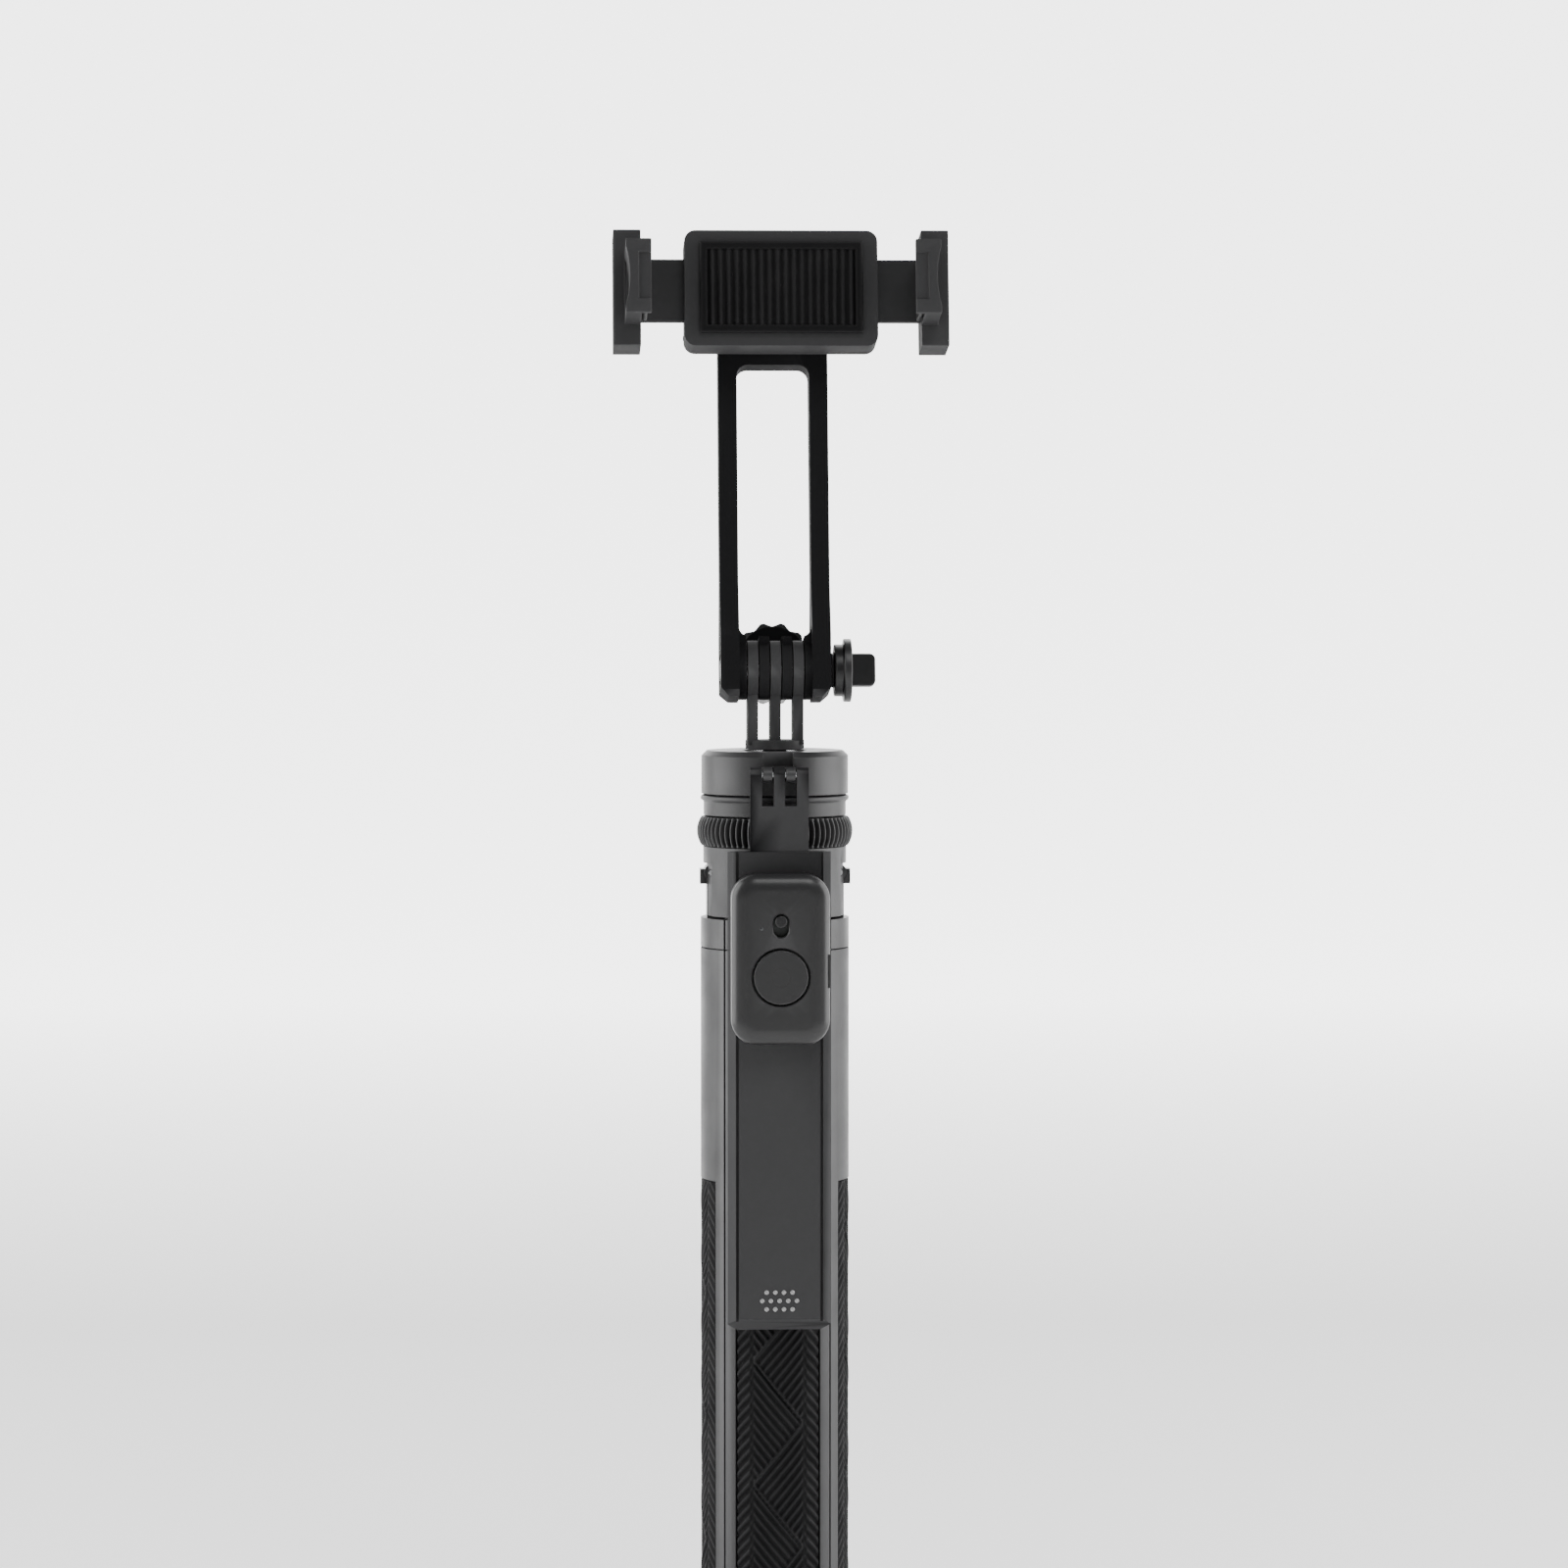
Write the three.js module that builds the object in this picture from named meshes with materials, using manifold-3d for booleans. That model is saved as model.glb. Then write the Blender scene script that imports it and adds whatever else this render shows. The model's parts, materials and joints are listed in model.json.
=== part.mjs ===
// A telescopic selfie stick: a handle that splits into four legs, a six-section pole, a forked
// tilt head with a ring-shaped yoke, a sprung phone clamp that turns on the yoke, and a hinged
// dock arm down the front of the handle that carries a small remote control.
// Millimetres, +Z up, -Y is the front. The origin is on the pole's axis, level with the closed feet.
import * as THREE from "three";
import { mergeVertices } from "three/addons/utils/BufferGeometryUtils.js";
import Module from "manifold-3d";

const wasm = await Module();
wasm.setup();

// ---------------------------------------------------------------- driving dimensions
const GAP = 0.3; // running clearance between neighbouring pieces
const FAR = 60; // how far a cutting tool runs past what it cuts
const DEGREE = Math.PI / 180;

const HANDLE_R = 20; // outside of the four closed legs
const COLLAR_R = 19.2; // the plain bands above the legs
const CAP_R = 19.8;
const RING_R = 20.95; // the knurled lock ring
const NECK_R = 15.5; // the hub's neck, which carries the ring and the collar

const LEG_INNER_R = 10.6;
const LEG_HALF_ANGLE = 44.2; // four quarter sectors with a fine gap between them
const LEG_WALL_R = 17.4; // the legs are hollow inside this radius
const FOOT_TOP = 8;
const GRIP_BOTTOM = 12;
const GRIP_TOP = 142.3;
const GRIP_DEPTH = 0.9;
const GRIP_HALF_ANGLE = 34;
const LEG_SEAM = 204.8; // where the leg's shell meets its hinge bracket
const LEG_TOP = 213;
const LEG_PIVOT_R = 16.9;
const LEG_PIVOT_Z = 225.2;
const LEG_PIN_R = 1;
const KNUCKLE_R = 2.25;
const KNUCKLE_HALF = 4; // half of the knuckle's width

const HUB_BOTTOM = 213.6;
const HUB_SLOT_TOP = 227.7;
const HUB_TOP = 232.1;
const RING_BOTTOM = 232.4;
const RING_TOP = 240.1;
const COLLAR_BOTTOM = 240.4;
const BEAD_BOTTOM = 244.4;
const NECK_TOP = 246;
const CAP_BOTTOM = 246.3;
const CAP_TOP = 257.9;

const POLE_BOTTOM = 24.2;
const POLE_TOP = 250;
const POLE_R = 10; // outside of the outer tube
const SECTION_TOP = 257.5;
const SECTION_BOTTOM = 29; // the first sliding section's lower end
const SECTION_WALL = 0.5;
const SECTION_STEP = 1.1; // how much smaller in radius each section is than the last
const SECTION_COUNT = 5;
const SLEEVE_HEIGHT = 12; // the thick nylon-lined lower end of each section
const LIP_HEIGHT = 4; // the rolled-in upper end that stops the next section's sleeve
const SLIDE_FIT = 0.15;

const FINGER_PITCH = 3.05; // the head's and the dock arm's interleaved hinge fingers
const FINGER_HALF = 1.4;
const TILT_Z = 279.3;
const TILT_R = 8; // the rounded end of the fork's prongs
const TILT_BOLT_R = 2.5;
const STEM_HALF_DEPTH = 4.6;
const FORK_BASE_R = 7.9;
const FORK_BASE_TOP = 260.6;

const LEAN = 10; // the yoke leans back by this many degrees at rest
const YOKE_HALF = 14.8;
const YOKE_OPEN_HALF = 9.8;
const YOKE_HALF_DEPTH = 4;
const YOKE_LENGTH = 101.3; // from the tilt axis to the clamp's swivel axis
const YOKE_OPEN_BOTTOM = 8.6;
const YOKE_OPEN_TOP = 83;
const BRIDGE_FRONT = 8.35; // the web behind the prongs that joins the yoke's fingers
const BRIDGE_BACK = 11.3;
const BOSS_R = 9.2;
const BOSS_UP = 4.2; // the rear knob stands a little above the tilt axis
const CHEEK_HALF_DEPTH = 7.9; // the arms deepen beside the barrel
const REAR_KNOB_R = 10.3;

const SWIVEL_R = 3;
const CLAMP_OFFSET = 1.8; // the grip's middle stands to the moving jaw's side of the swivel
const PHONE_HALF = 36.2; // half the width that the jaws hold at rest
const JAW_OUTER = 45.1; // from the grip's middle to a jaw's outer face
const JAW_HALF_HEIGHT = 15.8;
const LIP_HALF_HEIGHT = 10;
const CLAMP_HALF_WIDTH = 26;
const CLAMP_WALL = 2.5;
const CLAMP_BACK_FRONT = -8.6;
const CLAMP_FACE = -17;
const PAD_FACE = -18.5;
const LIP_BACK = -29.8;
const LIP_FRONT = -32;

const ARM_HINGE_Y = -23;
const ARM_HINGE_Z = 252.1;
const ARM_KNUCKLE_R = 2;
const ARM_FRONT = -25.5;
const ARM_BACK = -20.7;
const ARM_BOTTOM = 104;
const ARM_SHOULDER = 231.8; // where the narrow hinge plate widens to the dock
const ARM_SLOT_BOTTOM = 243.9;
const ARM_HALF = 13.7;
const ARM_FACE_HALF = 11.6;

const REMOTE_HALF = 13;
const REMOTE_CORNER = 6.5;
const REMOTE_BOTTOM = 181.1;
const REMOTE_TOP = 226.2;
const REMOTE_BACK = -25.9;
const REMOTE_SPLIT = -29;
const REMOTE_FRONT = -33.6;
const REMOTE_WALL = 1.4;
const BUTTON_Z = 199.1;
const BUTTON_R = 7.2;
const SWITCH_Z = 212.7;
const SWITCH_TRAVEL = 2.2;

// ---------------------------------------------------------------- materials
const finish = (color, roughness, metalness) =>
  new THREE.MeshStandardMaterial({ color, roughness, metalness });
const shellPlastic = finish(0x3c3c3d, 0.5, 0);
const blackPlastic = finish(0x202021, 0.45, 0);
const softRubber = finish(0x1c1c1d, 0.85, 0);
const anodised = finish(0x48484a, 0.35, 0.9);
const steel = finish(0xb4b6b8, 0.28, 1);
const springSteel = finish(0x8d9093, 0.35, 1);
const remotePlastic = finish(0x454546, 0.5, 0);
const boardGreen = finish(0x1f5a38, 0.6, 0);
const lensPlastic = finish(0xd8dde0, 0.2, 0);

// ---------------------------------------------------------------- shapes
// A closed geometry as a manifold-3d solid, with its faces pointing out.
function solid(geometry) {
  const bare = geometry.index ? geometry.toNonIndexed() : geometry.clone();
  bare.deleteAttribute("normal");
  bare.deleteAttribute("uv");
  const merged = mergeVertices(bare, 1e-4);
  const vertProperties = merged.attributes.position.array;
  const triVerts = new Uint32Array(merged.index.array);
  const body = new wasm.Manifold(new wasm.Mesh({ numProp: 3, vertProperties, triVerts }));
  if (body.volume() > 0) return body;
  const turned = triVerts.map((_, i) => triVerts[i - (i % 3) + [0, 2, 1][i % 3]]);
  return new wasm.Manifold(new wasm.Mesh({ numProp: 3, vertProperties, triVerts: turned }));
}

function geometryOf(body) {
  const mesh = body.getMesh();
  const geometry = new THREE.BufferGeometry();
  geometry.setAttribute("position", new THREE.BufferAttribute(mesh.vertProperties, 3));
  geometry.setIndex(new THREE.BufferAttribute(mesh.triVerts, 1));
  const flat = geometry.toNonIndexed();
  flat.computeVertexNormals();
  return flat;
}

function block(x0, x1, y0, y1, z0, z1) {
  const box = new THREE.BoxGeometry(x1 - x0, y1 - y0, z1 - z0);
  return solid(box.translate((x0 + x1) / 2, (y0 + y1) / 2, (z0 + z1) / 2));
}

// A solid of revolution about Z. Each point is [radius, z].
function turned(points, segments = 32) {
  const profile = points.map(([r, z]) => new THREE.Vector2(r, z));
  return solid(new THREE.LatheGeometry(profile, segments).rotateX(Math.PI / 2));
}

function disc(radius, z0, z1, segments = 32) {
  return turned([[0, z0], [radius, z0], [radius, z1], [0, z1]], segments);
}

// A cylinder along X from x0 to x1 through (y, z), or along Y from y0 to y1 through (x, z).
function rodX(radius, x0, x1, y = 0, z = 0, segments = 20) {
  const rod = new THREE.CylinderGeometry(radius, radius, x1 - x0, segments);
  return solid(rod.rotateZ(Math.PI / 2).translate((x0 + x1) / 2, y, z));
}

function rodY(radius, y0, y1, x = 0, z = 0, segments = 20) {
  const rod = new THREE.CylinderGeometry(radius, radius, y1 - y0, segments);
  return solid(rod.translate(x, (y0 + y1) / 2, z));
}

// An outline in the XZ plane, run along Y from y0 to y1.
function slab(shape, y0, y1, curveSegments = 4) {
  const depth = y1 - y0;
  const extruded = new THREE.ExtrudeGeometry(shape, { depth, bevelEnabled: false, curveSegments });
  return solid(extruded.rotateX(Math.PI / 2).translate(0, y1, 0));
}

function outline(points) {
  return new THREE.Shape(points.map(([x, z]) => new THREE.Vector2(x, z)));
}

function roundedRectangle(halfWidth, z0, z1, corner) {
  const shape = new THREE.Shape();
  shape.absarc(halfWidth - corner, z0 + corner, corner, -Math.PI / 2, 0);
  shape.absarc(halfWidth - corner, z1 - corner, corner, 0, Math.PI / 2);
  shape.absarc(corner - halfWidth, z1 - corner, corner, Math.PI / 2, Math.PI);
  shape.absarc(corner - halfWidth, z0 + corner, corner, Math.PI, 1.5 * Math.PI);
  return shape;
}

// A piece of a ring about Z, spread evenly to both sides of +X.
function sector(inner, outer, halfAngle, z0, z1) {
  const half = halfAngle * DEGREE;
  const shape = new THREE.Shape();
  shape.absarc(0, 0, outer, -half, half, false);
  shape.absarc(0, 0, inner, half, -half, true);
  const settings = { depth: z1 - z0, bevelEnabled: false, curveSegments: 7 };
  return solid(new THREE.ExtrudeGeometry(shape, settings).translate(0, 0, z0));
}

function joined(...bodies) {
  return bodies.reduce((whole, body) => whole.add(body));
}

function less(body, ...tools) {
  return tools.reduce((rest, tool) => rest.subtract(tool), body);
}

function quarterTurns(body) {
  return [0, 90, 180, 270].map((angle) => body.rotate([0, 0, angle]));
}

function add(group, name, body, material) {
  const mesh = new THREE.Mesh(geometryOf(body), material);
  mesh.name = name;
  group.add(mesh);
}

const stick = new THREE.Group();

// ---------------------------------------------------------------- handle core
function legHub() {
  const body = joined(disc(19.3, HUB_BOTTOM, HUB_TOP, 40), disc(NECK_R, HUB_TOP - 1, NECK_TOP));
  const slotHalf = KNUCKLE_HALF + GAP;
  const slot = block(12.6, FAR, -slotHalf, slotHalf, HUB_BOTTOM - 1, HUB_SLOT_TOP);
  const pinHole = rodY(LEG_PIN_R + GAP / 2, -6.9, 6.9, LEG_PIVOT_R, LEG_PIVOT_Z, 16);
  const recess = sector(18.7, 22, 27, HUB_BOTTOM - 1, HUB_SLOT_TOP);
  const bore = disc(POLE_R + GAP, HUB_BOTTOM - 1, NECK_TOP + 1, 24);
  return less(body, bore, ...[slot, pinHole, recess].flatMap(quarterTurns));
}

function collar() {
  return turned([
    [NECK_R + GAP, COLLAR_BOTTOM],
    [COLLAR_R, COLLAR_BOTTOM],
    [COLLAR_R, BEAD_BOTTOM],
    [HANDLE_R, BEAD_BOTTOM + 0.3],
    [HANDLE_R, NECK_TOP - 0.3],
    [COLLAR_R, NECK_TOP],
    [NECK_R + GAP, NECK_TOP],
    [NECK_R + GAP, COLLAR_BOTTOM],
  ], 40);
}

// The cap closes the handle, and its two front lugs carry the dock arm's hinge.
function topCap() {
  const body = turned([
    [0, CAP_BOTTOM],
    [CAP_R, CAP_BOTTOM],
    [CAP_R, CAP_TOP - 1.4],
    [CAP_R - 1.4, CAP_TOP],
    [0, CAP_TOP],
  ], 40);
  const bores = joined(
    disc(POLE_R + GAP, CAP_BOTTOM - 1, POLE_TOP + GAP, 24),
    disc(sectionRadius(0) + GAP, CAP_BOTTOM, CAP_TOP + 1, 24),
  );
  const notch = block(-4, 4, -FAR, -16.4, ARM_HINGE_Z + ARM_KNUCKLE_R, FAR * 5);
  const lugs = [-FINGER_PITCH, FINGER_PITCH].map((x) =>
    joined(
      block(x - 1.25, x + 1.25, ARM_HINGE_Y, -18, ARM_HINGE_Z - 2, ARM_HINGE_Z + 2),
      rodX(ARM_KNUCKLE_R, x - 1.25, x + 1.25, ARM_HINGE_Y, ARM_HINGE_Z, 20),
    ),
  );
  const pinHole = rodX(1.0, -FAR, FAR, ARM_HINGE_Y, ARM_HINGE_Z, 16);
  return less(joined(less(body, bores, notch), ...lugs), pinHole);
}

function handleCore() {
  const plug = joined(disc(POLE_R, 22.4, 23.9), disc(POLE_R - 1, 23.5, 27.5));
  add(stick, "leg_hub", legHub(), blackPlastic);
  add(stick, "lock_ring", lockRing(), blackPlastic);
  add(stick, "collar_band", collar(), shellPlastic);
  add(stick, "top_cap", topCap(), shellPlastic);
  add(stick, "pole_end_plug", plug, blackPlastic);
}

// The twist ring that locks the legs, with a ridge for the fingers every few degrees.
function lockRing() {
  const ridges = 72;
  const shape = new THREE.Shape();
  for (let i = 0; i < 2 * ridges; i += 1) {
    const angle = (i + 0.5) * (Math.PI / ridges);
    const radius = i % 2 ? RING_R - 0.6 : RING_R;
    const point = [radius * Math.cos(angle), radius * Math.sin(angle)];
    if (i) shape.lineTo(...point);
    else shape.moveTo(...point);
  }
  const settings = { depth: RING_TOP - RING_BOTTOM, bevelEnabled: false };
  const body = solid(new THREE.ExtrudeGeometry(shape, settings).translate(0, 0, RING_BOTTOM));
  return less(body, disc(NECK_R + GAP, RING_BOTTOM - 1, RING_TOP + 1));
}

// ---------------------------------------------------------------- telescopic pole
function sectionRadius(index) {
  return 8.4 - SECTION_STEP * index;
}

// A tube whose thick lower end slides in the tube around it, and whose rolled-in upper end
// stops the sleeve of the tube inside it.
function poleTube(outer, inner, sleeve, lip, z0, z1) {
  const points = [
    [inner, z0],
    [sleeve, z0],
    [sleeve, z0 + SLEEVE_HEIGHT],
    [outer, z0 + SLEEVE_HEIGHT],
    [outer, z1],
    [lip, z1],
    [lip, z1 - LIP_HEIGHT],
    [inner, z1 - LIP_HEIGHT],
    [inner, z0],
  ];
  const plain = sleeve === outer;
  return turned(plain ? points.filter((_, i) => i !== 2 && i !== 3) : points, 24);
}

function pole() {
  const bore = POLE_R - 0.8;
  const lip = sectionRadius(0) + SLIDE_FIT;
  add(stick, "pole_outer_tube", poleTube(POLE_R, bore, POLE_R, lip, POLE_BOTTOM, POLE_TOP), anodised);
  let around = bore;
  for (let i = 0; i < SECTION_COUNT; i += 1) {
    const outer = sectionRadius(i);
    const inner = outer - SECTION_WALL;
    const last = i === SECTION_COUNT - 1;
    const rolled = last ? inner - 0.01 : sectionRadius(i + 1) + SLIDE_FIT;
    const tube = poleTube(outer, inner, around - SLIDE_FIT, rolled, SECTION_BOTTOM + i, SECTION_TOP);
    add(stick, `pole_section_${i + 2}`, tube, steel);
    around = inner;
  }
}

// ---------------------------------------------------------------- legs
// One leg, built pointing along +X and turned to its side of the pole.
function leg(side, angle) {
  const group = new THREE.Group();
  group.rotation.z = angle * DEGREE;
  const quarter = (z0, z1) => sector(LEG_INNER_R, HANDLE_R, LEG_HALF_ANGLE, z0, z1);
  const hollow = sector(5, LEG_WALL_R, LEG_HALF_ANGLE - 6, FOOT_TOP + 3, LEG_SEAM - 3);
  const pocketFloor = HANDLE_R - GRIP_DEPTH - GAP;
  const pocket = sector(pocketFloor, FAR, GRIP_HALF_ANGLE + 0.6, GRIP_BOTTOM - GAP, GRIP_TOP + GAP);
  const shell = less(quarter(FOOT_TOP + GAP, LEG_SEAM), hollow, pocket);
  add(group, `${side}_leg_shell`, shell, shellPlastic);
  const grip = sector(HANDLE_R - GRIP_DEPTH, HANDLE_R, GRIP_HALF_ANGLE, GRIP_BOTTOM, GRIP_TOP);
  add(group, `${side}_leg_grip`, grip, softRubber);
  add(group, `${side}_leg_foot`, quarter(0, FOOT_TOP), softRubber);
  add(group, `${side}_leg_bracket`, legBracket(quarter(LEG_SEAM + GAP, LEG_TOP)), blackPlastic);
  const pin = rodY(LEG_PIN_R, -6.6, 6.6, LEG_PIVOT_R, LEG_PIVOT_Z, 16);
  add(group, `${side}_leg_pin`, pin, steel);
  stick.add(group);
}

// The end of the leg that hinges in the hub: a tongue, its knuckle and a small stop tab.
function legBracket(base) {
  const tongue = block(14, 18.4, -KNUCKLE_HALF, KNUCKLE_HALF, LEG_TOP - 2, LEG_PIVOT_Z);
  const knuckle = rodY(KNUCKLE_R, -KNUCKLE_HALF, KNUCKLE_HALF, LEG_PIVOT_R, LEG_PIVOT_Z, 20);
  const tab = block(LEG_PIVOT_R, 20.2, -3, 3, LEG_PIVOT_Z - 3.2, LEG_PIVOT_Z + 0.8);
  const hole = rodY(LEG_PIN_R + GAP / 2, -FAR, FAR, LEG_PIVOT_R, LEG_PIVOT_Z, 16);
  return less(joined(base, tongue, knuckle, tab), hole);
}

// ---------------------------------------------------------------- tilt head
function fingers(half, y0, y1, z0, z1) {
  return [-2, 0, 2].map((n) => {
    const x = n * FINGER_PITCH;
    return block(x - half, x + half, y0, y1, z0, z1);
  });
}

function headFork() {
  const prongs = [-2, 0, 2].map((n) => {
    const x0 = n * FINGER_PITCH - FINGER_HALF;
    const x1 = n * FINGER_PITCH + FINGER_HALF;
    return joined(
      block(x0, x1, -STEM_HALF_DEPTH, STEM_HALF_DEPTH, FORK_BASE_TOP - 1, TILT_Z),
      rodX(TILT_R, x0, x1, 0, TILT_Z, 24),
    );
  });
  const base = joined(
    disc(FORK_BASE_R, CAP_TOP + GAP, FORK_BASE_TOP, 24),
    disc(sectionRadius(SECTION_COUNT - 1) - SECTION_WALL - GAP, CAP_TOP - 20, CAP_TOP + 1, 24),
  );
  const boltHole = rodX(TILT_BOLT_R + GAP, -FAR, FAR, 0, TILT_Z, 16);
  return less(joined(base, ...prongs), boltHole);
}

// Everything on the yoke is built upright about the tilt axis, and the group leans back.
const yokeGroup = new THREE.Group();
yokeGroup.position.z = TILT_Z;
yokeGroup.rotation.x = -LEAN * DEGREE;

// The arm's lower end beside the barrel: flat in front, and tapering back to the arm above.
function cheek(side) {
  const profile = outline([
    [-CHEEK_HALF_DEPTH, -6.2],
    [-6.2, -CHEEK_HALF_DEPTH],
    [6.2, -CHEEK_HALF_DEPTH],
    [CHEEK_HALF_DEPTH, -6.2],
    [CHEEK_HALF_DEPTH, 9],
    [YOKE_HALF_DEPTH, 24],
    [-YOKE_HALF_DEPTH, 24],
    [-CHEEK_HALF_DEPTH, 9],
  ]);
  const plate = slab(profile, YOKE_OPEN_HALF, YOKE_HALF).rotate([0, 0, -90]);
  const corner = block(-1.6, 1.6, -FAR, FAR, -1.6, 1.6).rotate([0, 45, 0]);
  const chamfered = less(plate, corner.translate([YOKE_HALF, 0, -CHEEK_HALF_DEPTH]));
  return side > 0 ? chamfered : chamfered.mirror([1, 0, 0]);
}

// A long ring: a barrel at the tilt axis, two arms, and a round head that carries the swivel.
function yoke() {
  const ringShape = new THREE.Shape();
  ringShape.moveTo(-YOKE_HALF, 3);
  ringShape.lineTo(YOKE_HALF, 3);
  ringShape.absarc(0, YOKE_LENGTH, YOKE_HALF, 0, Math.PI, false);
  const opening = roundedRectangle(YOKE_OPEN_HALF, YOKE_OPEN_BOTTOM, YOKE_OPEN_TOP, 3);
  const body = joined(
    less(slab(ringShape, -YOKE_HALF_DEPTH, YOKE_HALF_DEPTH, 12), slab(opening, -FAR, FAR, 3)),
    rodX(TILT_R, -YOKE_OPEN_HALF - 1, YOKE_OPEN_HALF + 1, 0, 0, 24),
    block(-YOKE_HALF + 2, YOKE_HALF - 2, 0, BRIDGE_BACK, -6, 6),
    rodY(BOSS_R, BRIDGE_FRONT, BRIDGE_BACK + 0.3, 0, BOSS_UP, 24),
    cheek(-1),
    cheek(1),
  );
  const slotHalf = FINGER_HALF + GAP;
  const slots = fingers(slotHalf, -FAR, BRIDGE_FRONT, -FAR, YOKE_OPEN_BOTTOM + 0.4);
  const tiltHole = rodX(TILT_BOLT_R + GAP, -FAR, FAR, 0, 0, 16);
  const nutPocket = rodX(4.6, -FAR, -YOKE_HALF + 3.2, 0, 0, 6);
  const studHole = rodY(TILT_BOLT_R + GAP, BRIDGE_FRONT - 1, FAR, 0, BOSS_UP, 16);
  const swivelHole = rodY(SWIVEL_R + GAP, -FAR, FAR, 0, YOKE_LENGTH, 16);
  return less(body, ...slots, tiltHole, nutPocket, studHole, swivelHole);
}

// The tilt's thumb screw: a stepped collar and a flat wing for the fingers, moulded as one.
function tiltKnob() {
  const wing = roundedRectangle(4.4, -9, 9, 1.6);
  const turnedWing = slab(wing, -1.6, 1.6, 4).rotate([0, 90, 0]).translate([18.1, 0, 0]);
  const body = joined(
    rodX(4.7, YOKE_HALF + GAP, 16.4),
    rodX(7.1, 15.9, 18.6),
    rodX(8.6, 18.4, 20.5),
    turnedWing.intersect(block(19, FAR, -FAR, FAR, -FAR, FAR)),
  );
  return less(body, rodX(TILT_BOLT_R + 0.1, YOKE_HALF, 17.8, 0, 0, 16));
}

// A fluted knob on the back of the yoke, with its stud in the boss behind the prongs.
function rearKnob() {
  const lobes = 12;
  const steps = 5 * lobes;
  const points = [];
  for (let i = 0; i < steps; i += 1) {
    const angle = (i / steps) * 2 * Math.PI;
    const radius = REAR_KNOB_R + 0.6 * Math.cos(lobes * angle + Math.PI);
    points.push([radius * Math.cos(angle), radius * Math.sin(angle)]);
  }
  const front = BRIDGE_BACK + 0.3 + GAP;
  const stud = rodY(TILT_BOLT_R, BRIDGE_FRONT + GAP, front + 1, 0, 0, 20);
  return joined(slab(outline(points), front, front + 7.5), stud).translate([0, 0, BOSS_UP]);
}

function tiltHead() {
  const nut = less(
    rodX(4.2, -YOKE_HALF + 0.2, -YOKE_HALF + 3, 0, 0, 6),
    rodX(TILT_BOLT_R + 0.1, -FAR, FAR, 0, 0, 16),
  );
  add(stick, "head_fork", headFork(), shellPlastic);
  add(yokeGroup, "yoke", yoke(), shellPlastic);
  add(yokeGroup, "tilt_bolt", rodX(TILT_BOLT_R, -YOKE_HALF + 0.4, 17.5, 0, 0, 16), steel);
  add(yokeGroup, "tilt_nut", nut, steel);
  add(yokeGroup, "tilt_knob", tiltKnob(), blackPlastic);
  add(yokeGroup, "rear_lock_knob", rearKnob(), blackPlastic);
}

// ---------------------------------------------------------------- phone clamp
// Built about the swivel axis, which runs along Y, with the phone's side at -Y.
const clampGroup = new THREE.Group();
clampGroup.position.z = YOKE_LENGTH;

const SLIDE_HALF = 8.5; // the jaws' flat tongues inside the clamp
const SLIDE_BACK = -11.4;
const SLIDE_FRONT = -13.8;
const EAR_HALF = 12.6; // the ears that the springs pull on

function clampFront() {
  const left = CLAMP_OFFSET - CLAMP_HALF_WIDTH;
  const right = CLAMP_OFFSET + CLAMP_HALF_WIDTH;
  const inside = JAW_HALF_HEIGHT - CLAMP_WALL;
  const body = slab(
    roundedRectangle(CLAMP_HALF_WIDTH, -JAW_HALF_HEIGHT, JAW_HALF_HEIGHT, 3),
    CLAMP_FACE,
    CLAMP_BACK_FRONT - GAP,
  ).translate([CLAMP_OFFSET, 0, 0]);
  const cavity = block(left + CLAMP_WALL, right - CLAMP_WALL, CLAMP_FACE + 2, 0, -inside, inside);
  const slideSlot = block(
    -FAR, FAR, SLIDE_FRONT - GAP, SLIDE_BACK + GAP, -SLIDE_HALF - GAP, SLIDE_HALF + GAP,
  );
  return less(body, cavity, slideSlot, ...screwRods(1.2, CLAMP_FACE + 3, 0));
}

// Rods along Y at two opposite corners of the clamp's body.
function screwRods(radius, y0, y1, segments = 12) {
  return [-1, 1].map((side) => {
    const x = CLAMP_OFFSET + side * (CLAMP_HALF_WIDTH - 1.7);
    const z = side * (JAW_HALF_HEIGHT - 4.4);
    return rodY(radius, y0, y1, x, z, segments);
  });
}

function clampBack() {
  const plate = slab(
    roundedRectangle(CLAMP_HALF_WIDTH, -JAW_HALF_HEIGHT, JAW_HALF_HEIGHT, 3),
    CLAMP_BACK_FRONT,
    -5.8,
  ).translate([CLAMP_OFFSET, 0, 0]);
  return less(plate, rodY(SWIVEL_R + GAP, -FAR, FAR), ...screwRods(1.2, -FAR, 0));
}

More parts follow.
